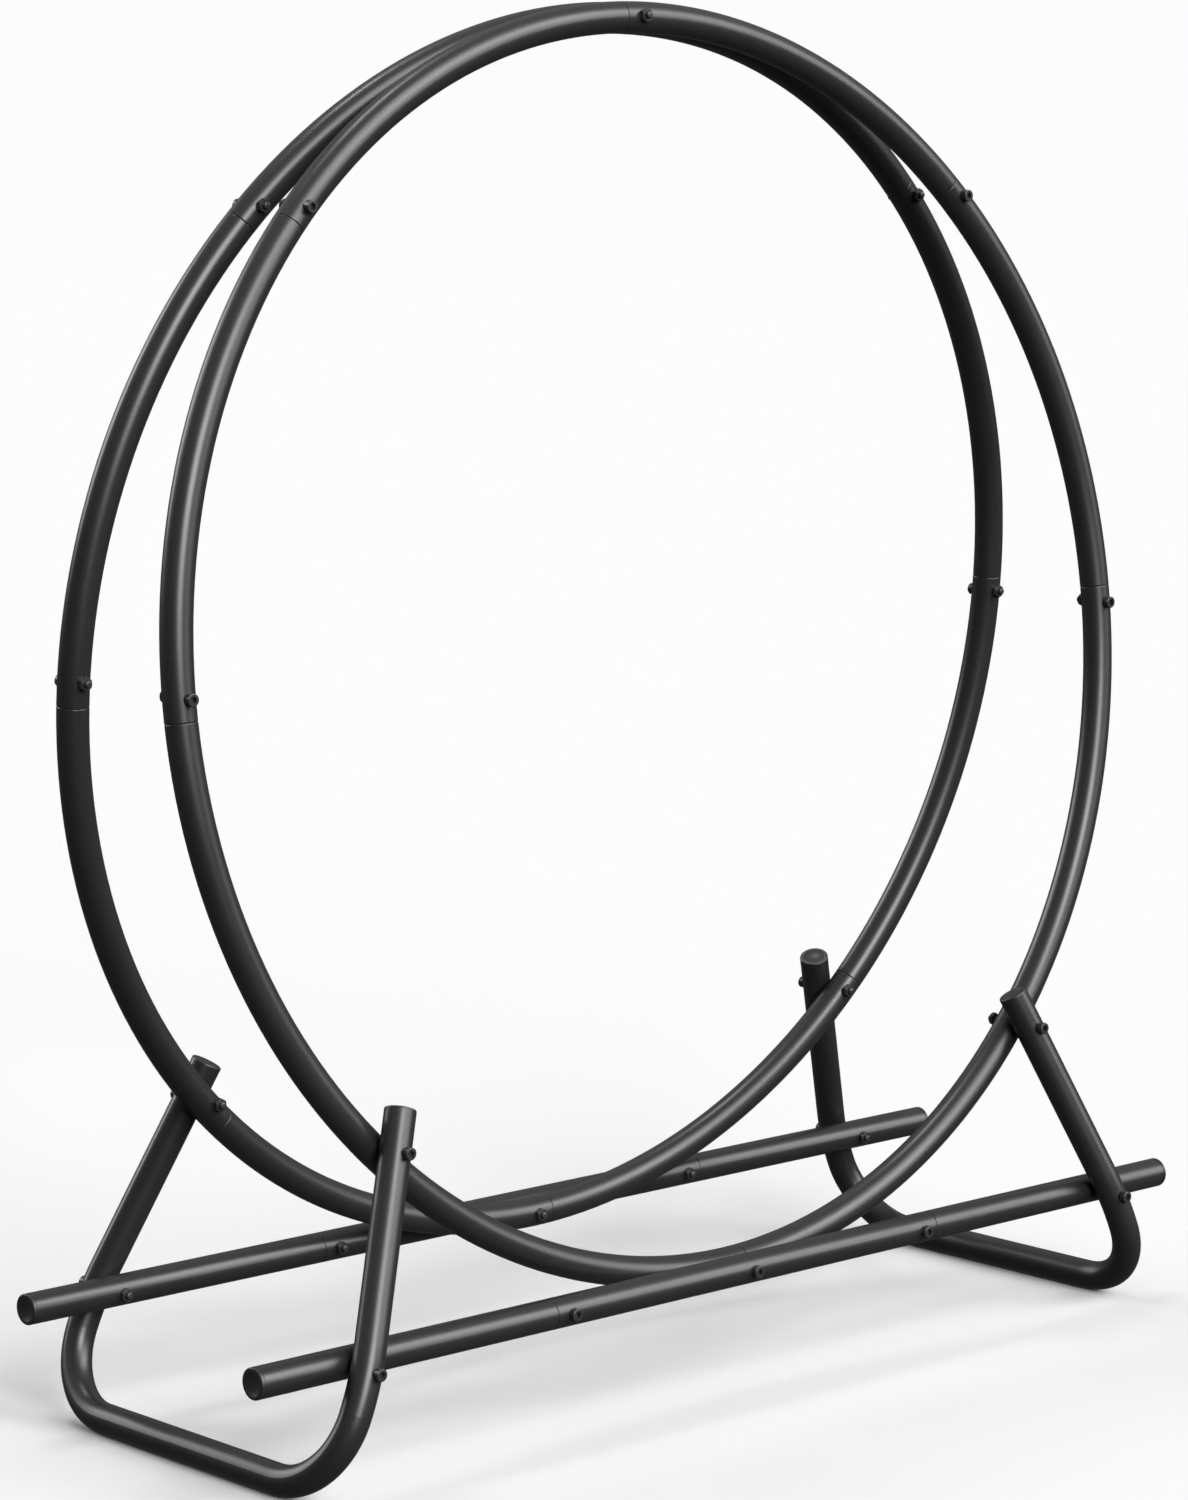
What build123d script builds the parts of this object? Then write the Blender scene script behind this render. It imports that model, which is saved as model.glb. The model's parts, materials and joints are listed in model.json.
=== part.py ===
from build123d import *
from dataclasses import dataclass
from math import asin, cos, degrees, radians, sin, sqrt, tan
import os

# Firewood log rack: two round tube hoops that lean together at the top, a horizontal
# base bar bolted outside the foot of each hoop, and a bent tube leg frame at each end.
# The bolts are level and their heads face out of the rack.
# X runs along the base bars, Y from front to back and Z up. The origin is on the floor
# below the middle of the rack. Lengths are millimetres, angles are degrees.

# Tube
tube_diameter = 25.0
tube_wall = 1.5
tube_gap = 0.1
edge_round = 0.8

# Swaged ends that push into the next tube
spigot_clearance = 0.2
shoulder_length = 3.0

# Hoops
hoop_radius = 500.0
hoop_lean = 6.1
hoop_parts = 8
seam_angle = 1.8
spigot_angle = 4.2
hoop_bolt_rise = 2.5
top_bolt_rise = 1.5

# Base bars
bar_height = 103.0
bar_length = 1007.0
bar_splice = 197.0
bar_seam = 212.0
bar_spigot = 34.0
bar_bolt_drop = 1.0

# Leg frames
foot_distance = 454.0
foot_half_straight = 109.5
foot_bend_radius = 63.0
foot_bend_angle = 90.0
knee_bend_radius = 210.0
knee_bend_angle = 14.5
leg_lean = 23.0
leg_top_height = 281.5
leg_bolt_rise = 4.4

# End plugs
plug_lip = 3.0
plug_rim_radius = 1.2
plug_dish_radius = 9.6
plug_dish_depth = 1.8
plug_barrel_length = 16.0
plug_barrel_radius = 9.8
plug_fin_clearance = 0.1
plug_fin_width = 1.0
plug_fin_pitch = 4.0
plug_fins = 3

# M6 fasteners
screw_diameter = 6.0
screw_hole = 6.6
head_diameter = 10.0
head_height = 5.0
head_edge = 0.8
socket_flats = 5.0
socket_depth = 3.2
nut_flats = 10.0
nut_height = 4.0
nut_hole = 6.3
nut_chamfer = 1.1
screw_tip = 3.0
tip_round = 1.5
seat_gap = 0.05

tube_radius = tube_diameter / 2
bore_radius = tube_radius - tube_wall
spigot_radius = bore_radius - spigot_clearance
spigot_bore_radius = spigot_radius - tube_wall
part_angle = 360 / hoop_parts
nut_radius = nut_flats / sqrt(3)

# Stations are counted anticlockwise around a hoop, as seen from the front, from +X.
TOP_STATION = 2
LEFT_LEG_STATION = 5
BOTTOM_STATION = 6
RIGHT_LEG_STATION = 7
leg_stations = {LEFT_LEG_STATION: -1, RIGHT_LEG_STATION: 1}
splice_stations = (0, 1, 3, 4)

sides = {"front": -1, "back": 1}
ends = {"left": -1, "right": 1}
along_x = Vector(1, 0, 0)

# Places worked out from the driving dimensions
hoop_centre_height = bar_height + hoop_radius * cos(radians(hoop_lean))
hoop_offset = (tube_diameter + tube_gap) / 2 + hoop_radius * sin(radians(hoop_lean))
bar_offset = hoop_offset + hoop_radius * sin(radians(hoop_lean)) + tube_diameter + tube_gap
knee_start = foot_half_straight + foot_bend_radius
knee_end = Vector(
    knee_start - knee_bend_radius * (1 - cos(radians(knee_bend_angle))),
    foot_bend_radius + knee_bend_radius * sin(radians(knee_bend_angle)),
)


# --- where the tubes run -------------------------------------------------------------


def hoop_plane(side):
    """The plane of a hoop: its origin is the hoop's centre and it faces the front."""
    return Plane(
        origin=(0, side * hoop_offset, hoop_centre_height),
        x_dir=(1, 0, 0),
        z_dir=(0, -cos(radians(hoop_lean)), -side * sin(radians(hoop_lean))),
    )


def hoop_point(side, angle):
    """The point of a hoop's centreline at this angle."""
    plane = hoop_plane(side)
    return plane.from_local_coords(
        Vector(hoop_radius * cos(radians(angle)), hoop_radius * sin(radians(angle)))
    )


def hoop_run(side, angle):
    """The direction in which a hoop's centreline runs at this angle."""
    plane = hoop_plane(side)
    return -sin(radians(angle)) * plane.x_dir + cos(radians(angle)) * plane.y_dir


def leg_plane(end):
    """The leaning plane of a leg frame: its x runs from front to back, its y up the legs."""
    up = Vector(-end * sin(radians(leg_lean)), 0, cos(radians(leg_lean)))
    depth = Vector(0, 1, 0)
    return Plane(
        origin=(end * foot_distance, 0, tube_radius), x_dir=depth, z_dir=depth.cross(up)
    )


def leg_point(end, side, height):
    """The point of an upright's centreline at this height, and the way it runs there."""
    plane = leg_plane(end)
    rise = (height - tube_radius) / cos(radians(leg_lean))
    if rise < knee_end.Y:
        slope = asin((rise - foot_bend_radius) / knee_bend_radius)
        reach = knee_start - knee_bend_radius * (1 - cos(slope))
    else:
        slope = radians(knee_bend_angle)
        reach = knee_end.X - (rise - knee_end.Y) * tan(slope)
    point = plane.from_local_coords(Vector(side * reach, rise))
    run = -side * sin(slope) * plane.x_dir + cos(slope) * plane.y_dir
    return point, run


def bar_point(side, distance):
    """The point of a base bar's centreline this far to the right of its middle."""
    return Vector(distance, side * bar_offset, bar_height)


# --- bolted joints -------------------------------------------------------------------


@dataclass
class BoltedJoint:
    """A level bolt with its head outside, by its points abreast of the tubes it holds."""

    outer: Vector
    outer_run: Vector
    inner: Vector
    inner_run: Vector
    outward: Vector

    def head_seat(self):
        """The plane under the bolt's head."""
        distance = seat_distance(self.outward, self.outer_run, head_diameter / 2)
        return Plane(origin=self.outer + self.outward * distance, z_dir=self.outward)

    def nut_seat(self):
        """The plane that the nut bears on."""
        distance = seat_distance(self.outward, self.inner_run, nut_radius)
        return Plane(origin=self.inner - self.outward * distance, z_dir=-self.outward)

    def hole(self):
        """The clearance hole through the tubes."""
        head, nut = self.head_seat(), self.nut_seat()
        length = (head.origin - nut.origin).length
        return head * Pos(0, 0, -length / 2) * Cylinder(screw_hole / 2, length + 2 * head_height)


def seat_distance(direction, run, part_radius):
    """How far from a tube's axis a flat round part sits, square to a bolt's direction."""
    sine = abs(direction.dot(run))
    cosine = sqrt(1 - sine**2)
    return (tube_radius + part_radius * sine) / cosine + seat_gap


def outward(side):
    """The level direction out of the rack on this side."""
    return Vector(0, side, 0)


def abreast_of_hoop(side, angle, x, height):
    """The point abreast of a hoop on a level bolt at this place, and the hoop's run there."""
    centre, run = hoop_point(side, angle), hoop_run(side, angle)
    along = (x - centre.X) * run.X + (height - centre.Z) * run.Z
    angle += degrees(along / hoop_radius)
    centre, run = hoop_point(side, angle), hoop_run(side, angle)
    across = run.cross(outward(side)).normalized()
    aside = (x - centre.X) * across.X + (height - centre.Z) * across.Z
    return centre + across * aside, run


def splice_joint(point, run, side):
    """A bolt through one tube, where another tube's spigot is inside it."""
    return BoltedJoint(point, run, point, run, outward(side))


def hoop_leg_joint(side, station):
    """The bolt through a hoop and the upright outside it."""
    angle = station * part_angle
    height = hoop_point(side, angle).Z + leg_bolt_rise
    upright = leg_point(leg_stations[station], side, height)
    hoop = abreast_of_hoop(side, angle, upright[0].X, height)
    return BoltedJoint(*upright, *hoop, outward(side))


def hoop_bar_joint(side):
    """The bolt through the foot of a hoop and the base bar outside it."""
    hoop = hoop_point(side, BOTTOM_STATION * part_angle), along_x
    bar = bar_point(side, 0), along_x
    return BoltedJoint(*bar, *hoop, outward(side))


def hoop_top_joint():
    """The one bolt that holds the tops of the two hoops together, with its head at the back."""
    rise = Vector(0, 0, top_bolt_rise)
    front, back = [hoop_point(side, TOP_STATION * part_angle) + rise for side in (-1, 1)]
    return BoltedJoint(back, along_x, front, along_x, outward(1))


def hoop_splice_joint(side, station):
    """The bolt through two parts of a hoop where nothing else is fixed to them."""
    angle = station * part_angle
    point = hoop_point(side, angle)
    hoop = abreast_of_hoop(side, angle, point.X, point.Z + hoop_bolt_rise)
    return splice_joint(*hoop, side)


def station_joint(side, station):
    """The joint at any station of a hoop."""
    if station == TOP_STATION:
        return hoop_top_joint()
    if station == BOTTOM_STATION:
        return hoop_bar_joint(side)
    if station in leg_stations:
        return hoop_leg_joint(side, station)
    return hoop_splice_joint(side, station)


def bar_splice_joint(side, end):
    """The bolt where an outer part of a base bar fits into its middle part."""
    return splice_joint(bar_point(side, end * bar_splice), along_x, side)


def bar_leg_joint(side, end):
    """The bolt through a base bar and the upright outside it."""
    upright = leg_point(end, side, bar_height - bar_bolt_drop)
    bar = bar_point(side, upright[0].X) - Vector(0, 0, bar_bolt_drop), along_x
    return BoltedJoint(*upright, *bar, outward(side))


# --- hoops ---------------------------------------------------------------------------


def hoop_arc(radius, start, size):
    """A solid round bar bent to part of the hoop, from this angle and of this size."""
    return Rot(0, 0, start) * Torus(hoop_radius, radius, major_angle=size, align=None)


def round_ends(tube):
    """Rounds off the outer rims of a tube's full-size ends."""
    rims = [
        edge
        for edge in tube.edges().filter_by(GeomType.CIRCLE)
        if abs(edge.radius - tube_radius) < edge_round / 10
    ]
    return fillet(rims, edge_round)


def hoop_segment(side, number):
    """One of the bent tubes of a hoop. Its spigot is at its clockwise end."""
    station = number - 1
    start = station * part_angle + seam_angle
    shoulder = degrees(shoulder_length / hoop_radius)
    body = round_ends(hoop_arc(tube_radius, start, part_angle))
    spigot_start = start - spigot_angle
    segment = body + hoop_arc(spigot_radius, spigot_start, spigot_angle + shoulder)
    segment -= hoop_arc(bore_radius, start + shoulder, part_angle)
    segment -= hoop_arc(spigot_bore_radius, spigot_start - 1, spigot_angle + 1 + 2 * shoulder)
    segment = hoop_plane(side).location * segment
    for here in (station, (station + 1) % hoop_parts):
        segment -= station_joint(side, here).hole()
    return segment


# --- base bars -----------------------------------------------------------------------


def rod(radius, start, finish):
    """A solid rod along X between two distances."""
    middle = (start + finish) / 2
    return Pos(middle, 0, 0) * Rot(0, 90, 0) * Cylinder(radius, abs(finish - start))


def bar_centre(side):
    """The middle tube of a base bar, open at both ends to take the outer tubes."""
    bar = round_ends(rod(tube_radius, -bar_seam, bar_seam))
    bar -= rod(bore_radius, -bar_seam, bar_seam)
    bar = Pos(*bar_point(side, 0)) * bar
    for end in ends.values():
        bar -= bar_splice_joint(side, end).hole()
    return bar - hoop_bar_joint(side).hole()


def bar_outer(side, end):
    """An outer tube of a base bar, with a spigot that fits into the middle tube."""
    tip = end * (bar_length / 2 - plug_lip)
    seam = end * bar_seam
    shoulder = seam + end * shoulder_length
    spigot_end = seam - end * bar_spigot
    bar = round_ends(rod(tube_radius, seam, tip))
    bar += rod(spigot_radius, spigot_end, shoulder)
    bar -= rod(bore_radius, shoulder, tip)
    bar -= rod(spigot_bore_radius, spigot_end, shoulder)
    bar = Pos(*bar_point(side, 0)) * bar
    bar -= bar_splice_joint(side, end).hole()
    return bar - bar_leg_joint(side, end).hole()


# --- leg frames ----------------------------------------------------------------------


def leg_top_rise():
    """How far up its leaning plane an upright's tube ends, under the lip of its plug."""
    lip_rise = plug_lip * cos(radians(knee_bend_angle))
    return (leg_top_height - tube_radius) / cos(radians(leg_lean)) - lip_rise


def leg_centreline():
    """A leg frame's centreline, drawn in its own plane: one half and its mirror image."""
    top_rise = leg_top_rise()
    top_reach = knee_end.X - (top_rise - knee_end.Y) * tan(radians(knee_bend_angle))
    foot_centre = (foot_half_straight, foot_bend_radius)
    knee_centre = (knee_start - knee_bend_radius, foot_bend_radius)
    foot = Line((0, 0), (foot_half_straight, 0))
    foot_bend = CenterArc(foot_centre, foot_bend_radius, -90, foot_bend_angle)
    knee_bend = CenterArc(knee_centre, knee_bend_radius, 0, knee_bend_angle)
    upright = Line(knee_end, (top_reach, top_rise))
    half = Curve() + [foot, foot_bend, knee_bend, upright]
    return Wire((half + mirror(half, Plane.YZ)).edges())


def leg_frame(end):
    """One bent tube: a foot along the floor and an upright at each end of it."""
    path = leg_plane(end).location * leg_centreline()
    ring = Circle(tube_radius) - Circle(bore_radius)
    frame = sweep(Plane(path @ 0, z_dir=path % 0) * ring, path=path)
    station = LEFT_LEG_STATION if end < 0 else RIGHT_LEG_STATION
    for side in sides.values():
        frame -= hoop_leg_joint(side, station).hole()
        frame -= bar_leg_joint(side, end).hole()
    return frame


# --- end plugs -----------------------------------------------------------------------


def end_plug():
    """A moulded plug with a dished, round-rimmed lip and a finned barrel, facing +Z."""
    lip = Pos(0, 0, plug_lip / 2) * Cylinder(tube_radius, plug_lip)
    rim = lip.edges().group_by(Axis.Z)[-1]
    lip = fillet(rim, plug_rim_radius)
    barrel = Pos(0, 0, -plug_barrel_length / 2) * Cylinder(plug_barrel_radius, plug_barrel_length)
    plug = lip + barrel
    fin_radius = bore_radius - plug_fin_clearance
    for index in range(1, plug_fins + 1):
        plug += Pos(0, 0, -index * plug_fin_pitch) * Cylinder(fin_radius, plug_fin_width)
    dish_sphere = (plug_dish_radius**2 + plug_dish_depth**2) / (2 * plug_dish_depth)
    return plug - Pos(0, 0, plug_lip - plug_dish_depth + dish_sphere) * Sphere(dish_sphere)


def bar_plug(side, end):
    """The plug in an end of a base bar."""
    seat = bar_point(side, end * (bar_length / 2 - plug_lip))
    return Plane(origin=seat, z_dir=end * along_x) * end_plug()


def leg_plug(side, end):
    """The plug in the top of an upright."""
    point, run = leg_point(end, side, leg_top_height)
    return Plane(origin=point - run * plug_lip, z_dir=run) * end_plug()


# --- fasteners -----------------------------------------------------------------------


def bolt(joint):
    """A socket head screw, in place."""
    seat = joint.head_seat()
    grip = (seat.origin - joint.nut_seat().origin).length
    head = Pos(0, 0, head_height / 2) * Cylinder(head_diameter / 2, head_height)
    head = fillet(head.edges().group_by(Axis.Z)[-1], head_edge)
    socket = RegularPolygon(socket_flats / 2, 6, major_radius=False)
    head -= Pos(0, 0, head_height - socket_depth) * extrude(socket, socket_depth)
    shank_length = grip + nut_height + screw_tip
    shank = Pos(0, 0, -shank_length / 2) * Cylinder(screw_diameter / 2, shank_length)
    shank = fillet(shank.edges().group_by(Axis.Z)[0], tip_round)
    return seat * (head + shank)


def nut(joint):
    """A hexagon nut with chamfered corners, in place."""
    hexagon = extrude(RegularPolygon(nut_flats / 2, 6, major_radius=False), nut_height)
    blank = Pos(0, 0, nut_height / 2) * Cylinder(nut_radius, nut_height)
    blank = chamfer(blank.edges().group_by(Axis.Z)[-1], nut_chamfer)
    hole = Pos(0, 0, nut_height / 2) * Cylinder(nut_hole / 2, 2 * nut_height)
    return joint.nut_seat() * ((hexagon & blank) - hole)


def fastener_groups():
    """The joints of each kind, by the name that their bolts and nuts share."""
    pairs = [(side, end) for side in sides.values() for end in ends.values()]
    hoops = [
        hoop_splice_joint(side, station) for side in sides.values() for station in splice_stations
    ]
    uprights = [
        hoop_leg_joint(side, station) for side in sides.values() for station in leg_stations
    ]
    return {
        "hoop_splice": hoops,
        "hoop_top": [hoop_top_joint()],
        "hoop_leg": uprights,
        "hoop_bar": [hoop_bar_joint(side) for side in sides.values()],
        "bar_splice": [bar_splice_joint(side, end) for side, end in pairs],
        "bar_leg": [bar_leg_joint(side, end) for side, end in pairs],
    }


# --- the rack ------------------------------------------------------------------------


def rack():
    """Every node of the rack, by name."""
    nodes = {}
    for side_name, side in sides.items():
        for number in range(1, hoop_parts + 1):
            nodes[f"{side_name}_hoop_segment_{number}"] = hoop_segment(side, number)
        nodes[f"{side_name}_base_bar_centre"] = bar_centre(side)
        for end_name, end in ends.items():
            nodes[f"{side_name}_base_bar_{end_name}"] = bar_outer(side, end)
            nodes[f"{side_name}_bar_{end_name}_plug"] = bar_plug(side, end)
            nodes[f"{side_name}_leg_{end_name}_plug"] = leg_plug(side, end)
    for end_name, end in ends.items():
        nodes[f"{end_name}_leg_frame"] = leg_frame(end)
    for group, joints in fastener_groups().items():
        plural = "s" if len(joints) > 1 else ""
        nodes[f"{group}_bolt{plural}"] = Compound([bolt(joint) for joint in joints])
        nodes[f"{group}_nut{plural}"] = Compound([nut(joint) for joint in joints])
    return nodes


os.makedirs("parts", exist_ok=True)
for name, shape in rack().items():
    export_step(shape, f"parts/{name}.step")
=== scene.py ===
import json
from math import cos, radians, sin

import bpy
from mathutils import Matrix, Vector


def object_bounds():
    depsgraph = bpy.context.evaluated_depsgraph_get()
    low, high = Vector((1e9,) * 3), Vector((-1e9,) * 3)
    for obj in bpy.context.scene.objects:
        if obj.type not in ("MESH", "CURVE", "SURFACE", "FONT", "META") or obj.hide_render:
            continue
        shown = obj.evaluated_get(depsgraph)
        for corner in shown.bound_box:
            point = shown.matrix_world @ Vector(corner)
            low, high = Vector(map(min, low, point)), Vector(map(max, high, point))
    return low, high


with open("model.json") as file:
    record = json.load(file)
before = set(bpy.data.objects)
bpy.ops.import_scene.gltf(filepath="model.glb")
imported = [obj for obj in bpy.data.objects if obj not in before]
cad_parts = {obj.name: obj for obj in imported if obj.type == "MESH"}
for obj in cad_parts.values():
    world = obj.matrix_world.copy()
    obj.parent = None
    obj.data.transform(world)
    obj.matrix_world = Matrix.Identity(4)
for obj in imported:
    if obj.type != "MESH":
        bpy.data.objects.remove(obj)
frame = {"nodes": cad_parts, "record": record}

cad_low, cad_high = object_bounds()
rack_centre = (cad_low + cad_high) / 2

# Lengths are metres and angles are degrees. Azimuths are counted from the front of the
# rack, which faces -Y, towards +X.

# Camera
camera_azimuth = -42.127
camera_elevation = 9.964
camera_roll = -0.14
camera_distance = 3.6604
camera_lens = 107.887
camera_sensor = 36.0
camera_rise = 0.1133
camera_aim = rack_centre + Vector((-0.0396, -0.0065, -0.1789))

# Studio. A light is its azimuth, elevation, apparent width and strength.
lights = {
    "front_light": (-14, 23, 30, 3.2),
    "right_light": (23, 39, 40, 2.1),
    "far_right_light": (44, 25, 40, 1.8),
    "back_light": (-161, 23, 32, 1.2),
    "top_light": (170, 71, 12, 0.5),
}
light_colour = (1.0, 1.0, 1.0)
floor_half_size = 40.0
floor_colour = (0.57, 0.57, 0.57)
floor_roughness = 1.0
floor_specular = 0.0
room_colour = (1.0, 1.0, 1.0)
room_seen = 0.977
room_top = 0.4
room_bottom = 0.08
room_blend_start = 0.0
room_blend_end = 0.7

# Where a colour starts and stops its change over the values of a noise
blend_start = 0.35
blend_end = 0.65

# Powder coat on the tubes
coat_colour = (0.0100, 0.0100, 0.0100)
coat_light_colour = (0.0155, 0.0155, 0.0155)
coat_roughness = 0.34
coat_roughness_spread = 0.05
coat_patch_size = 0.09
coat_patch_detail = 3
coat_patch_roughness = 0.5
coat_grain_size = 0.0011
coat_grain_detail = 2
coat_grain_roughness = 0.6
coat_grain_depth = 0.00002

# Moulded plastic of the end plugs
plug_colour = (0.008, 0.008, 0.008)
plug_light_colour = (0.014, 0.014, 0.014)
plug_roughness = 0.40
plug_grain_size = 0.0005
plug_grain_detail = 3
plug_grain_roughness = 0.7
plug_grain_depth = 0.00003

# Black finish of the screws and nuts
steel_colour = (0.014, 0.014, 0.014)
steel_light_colour = (0.030, 0.030, 0.030)
steel_roughness = 0.26
steel_grain_size = 0.0008
steel_grain_detail = 4
steel_grain_roughness = 0.6
steel_grain_depth = 0.00001


def direction(azimuth, elevation):
    """The way from the rack towards this azimuth and elevation."""
    turn, rise = radians(azimuth), radians(elevation)
    return Vector((sin(turn) * cos(rise), -cos(turn) * cos(rise), sin(rise)))


# --- camera and studio ---------------------------------------------------------------


def make_camera():
    """The camera, looking at the rack from its left front."""
    data = bpy.data.cameras.new("camera")
    data.lens = camera_lens
    data.sensor_width = camera_sensor
    data.shift_y = camera_rise
    camera = bpy.data.objects.new("camera", data)
    bpy.context.scene.collection.objects.link(camera)
    back = direction(camera_azimuth, camera_elevation)
    right = Vector((0, 0, 1)).cross(back).normalized()
    up = back.cross(right)
    turn = radians(camera_roll)
    rolled_right = right * cos(turn) + up * sin(turn)
    rolled_up = up * cos(turn) - right * sin(turn)
    facing = Matrix((rolled_right, rolled_up, back)).transposed().to_4x4()
    camera.matrix_world = Matrix.Translation(camera_aim + back * camera_distance) @ facing
    bpy.context.scene.camera = camera


def make_light(name, azimuth, elevation, width, strength):
    """A softbox so far off that it lights the whole scene alike."""
    data = bpy.data.lights.new(name, "SUN")
    data.angle = radians(width)
    data.energy = strength
    data.color = light_colour
    light = bpy.data.objects.new(name, data)
    bpy.context.scene.collection.objects.link(light)
    back = direction(azimuth, elevation)
    light.rotation_mode = "QUATERNION"
    light.rotation_quaternion = (-back).to_track_quat("-Z", "Y")
    light.location = rack_centre + back * camera_distance


def make_room():
    """A room with a pale ceiling, a dim lower half and a plain backdrop."""
    world = bpy.data.worlds.new("room")
    world.use_nodes = True
    tree = world.node_tree
    tree.nodes.clear()
    place = tree.nodes.new("ShaderNodeTexCoord")
    split = tree.nodes.new("ShaderNodeSeparateXYZ")
    fill = tree.nodes.new("ShaderNodeMapRange")
    path = tree.nodes.new("ShaderNodeLightPath")
    strength = tree.nodes.new("ShaderNodeMix")
    background = tree.nodes.new("ShaderNodeBackground")
    output = tree.nodes.new("ShaderNodeOutputWorld")
    background.inputs["Color"].default_value = (*room_colour, 1)
    fill.interpolation_type = "SMOOTHSTEP"
    fill.inputs["From Min"].default_value = room_blend_start
    fill.inputs["From Max"].default_value = room_blend_end
    fill.inputs["To Min"].default_value = room_bottom
    fill.inputs["To Max"].default_value = room_top
    strength.inputs["B"].default_value = room_seen
    tree.links.new(place.outputs["Generated"], split.inputs["Vector"])
    tree.links.new(split.outputs["Z"], fill.inputs["Value"])
    tree.links.new(fill.outputs["Result"], strength.inputs["A"])
    tree.links.new(path.outputs["Is Camera Ray"], strength.inputs["Factor"])
    tree.links.new(strength.outputs["Result"], background.inputs["Strength"])
    tree.links.new(background.outputs["Background"], output.inputs["Surface"])
    bpy.context.scene.world = world


def make_floor():
    """A pale matt floor that takes the rack's shadow and casts no light back onto the rack."""
    corners = [(-1, -1), (1, -1), (1, 1), (-1, 1)]
    mesh = bpy.data.meshes.new("floor")
    points = [(x * floor_half_size, y * floor_half_size, cad_low.z) for x, y in corners]
    mesh.from_pydata(points, [], [(0, 1, 2, 3)])
    floor = bpy.data.objects.new("floor", mesh)
    bpy.context.scene.collection.objects.link(floor)
    floor.visible_diffuse = False
    floor.visible_glossy = False
    material = bpy.data.materials.new("floor_paper")
    material.use_nodes = True
    shader = material.node_tree.nodes["Principled BSDF"]
    shader.inputs["Base Color"].default_value = (*floor_colour, 1)
    shader.inputs["Roughness"].default_value = floor_roughness
    shader.inputs["Specular IOR Level"].default_value = floor_specular
    mesh.materials.append(material)


# --- materials -----------------------------------------------------------------------


def new_material(name):
    """An empty material with its shader and the object's own coordinates."""
    material = bpy.data.materials.new(name)
    material.use_nodes = True
    tree = material.node_tree
    shader = tree.nodes["Principled BSDF"]
    place = tree.nodes.new("ShaderNodeTexCoord").outputs["Object"]
    return material, tree, shader, place


def noise(tree, place, feature_size, detail, roughness):
    """A noise whose features are about this large."""
    node = tree.nodes.new("ShaderNodeTexNoise")
    node.inputs["Scale"].default_value = 1 / feature_size
    node.inputs["Detail"].default_value = detail
    node.inputs["Roughness"].default_value = roughness
    tree.links.new(place, node.inputs["Vector"])
    return node.outputs["Fac"]


def blend_colours(tree, factor, dark, light):
    """A colour that runs from dark to light with the factor."""
    ramp = tree.nodes.new("ShaderNodeValToRGB")
    ramp.color_ramp.elements[0].position = blend_start
    ramp.color_ramp.elements[0].color = (*dark, 1)
    ramp.color_ramp.elements[1].position = blend_end
    ramp.color_ramp.elements[1].color = (*light, 1)
    tree.links.new(factor, ramp.inputs["Fac"])
    return ramp.outputs["Color"]


def spread(tree, factor, low, high):
    """A number that runs from low to high with the factor."""
    node = tree.nodes.new("ShaderNodeMapRange")
    node.inputs["To Min"].default_value = low
    node.inputs["To Max"].default_value = high
    tree.links.new(factor, node.inputs["Value"])
    return node.outputs["Result"]


def raise_surface(tree, height, depth):
    """A bump of this depth."""
    bump = tree.nodes.new("ShaderNodeBump")
    bump.inputs["Distance"].default_value = depth
    tree.links.new(height, bump.inputs["Height"])
    return bump.outputs["Normal"]


def powder_coat():
    """Satin charcoal powder coat: fine orange peel, and patches of slightly other gloss."""
    material, tree, shader, place = new_material("powder_coat")
    patches = noise(tree, place, coat_patch_size, coat_patch_detail, coat_patch_roughness)
    grain = noise(tree, place, coat_grain_size, coat_grain_detail, coat_grain_roughness)
    colour = blend_colours(tree, grain, coat_colour, coat_light_colour)
    tree.links.new(colour, shader.inputs["Base Color"])
    low, high = coat_roughness - coat_roughness_spread, coat_roughness + coat_roughness_spread
    tree.links.new(spread(tree, patches, low, high), shader.inputs["Roughness"])
    tree.links.new(raise_surface(tree, grain, coat_grain_depth), shader.inputs["Normal"])
    return material


def moulded_plastic():
    """Black plastic with the fine spark-eroded grain of its mould."""
    material, tree, shader, place = new_material("moulded_plastic")
    grain = noise(tree, place, plug_grain_size, plug_grain_detail, plug_grain_roughness)
    colour = blend_colours(tree, grain, plug_colour, plug_light_colour)
    tree.links.new(colour, shader.inputs["Base Color"])
    shader.inputs["Roughness"].default_value = plug_roughness
    tree.links.new(raise_surface(tree, grain, plug_grain_depth), shader.inputs["Normal"])
    return material


def black_steel():
    """Black coated steel with a slightly uneven finish."""
    material, tree, shader, place = new_material("black_steel")
    grain = noise(tree, place, steel_grain_size, steel_grain_detail, steel_grain_roughness)
    colour = blend_colours(tree, grain, steel_colour, steel_light_colour)
    tree.links.new(colour, shader.inputs["Base Color"])
    shader.inputs["Roughness"].default_value = steel_roughness
    tree.links.new(raise_surface(tree, grain, steel_grain_depth), shader.inputs["Normal"])
    return material


def dress_nodes():
    """Gives every CAD node the material of its slot."""
    materials = {
        "powder_coat": powder_coat(),
        "black_plastic": moulded_plastic(),
        "black_fastener": black_steel(),
    }
    for part in frame["record"]["subparts"]:
        node = frame["nodes"][part["node"]]
        for slot in node.material_slots:
            slot.material = materials[part["material_slot"]]


bpy.context.scene.view_settings.view_transform = "Standard"
make_camera()
make_room()
make_floor()
for name, light in lights.items():
    make_light(name, *light)
dress_nodes()
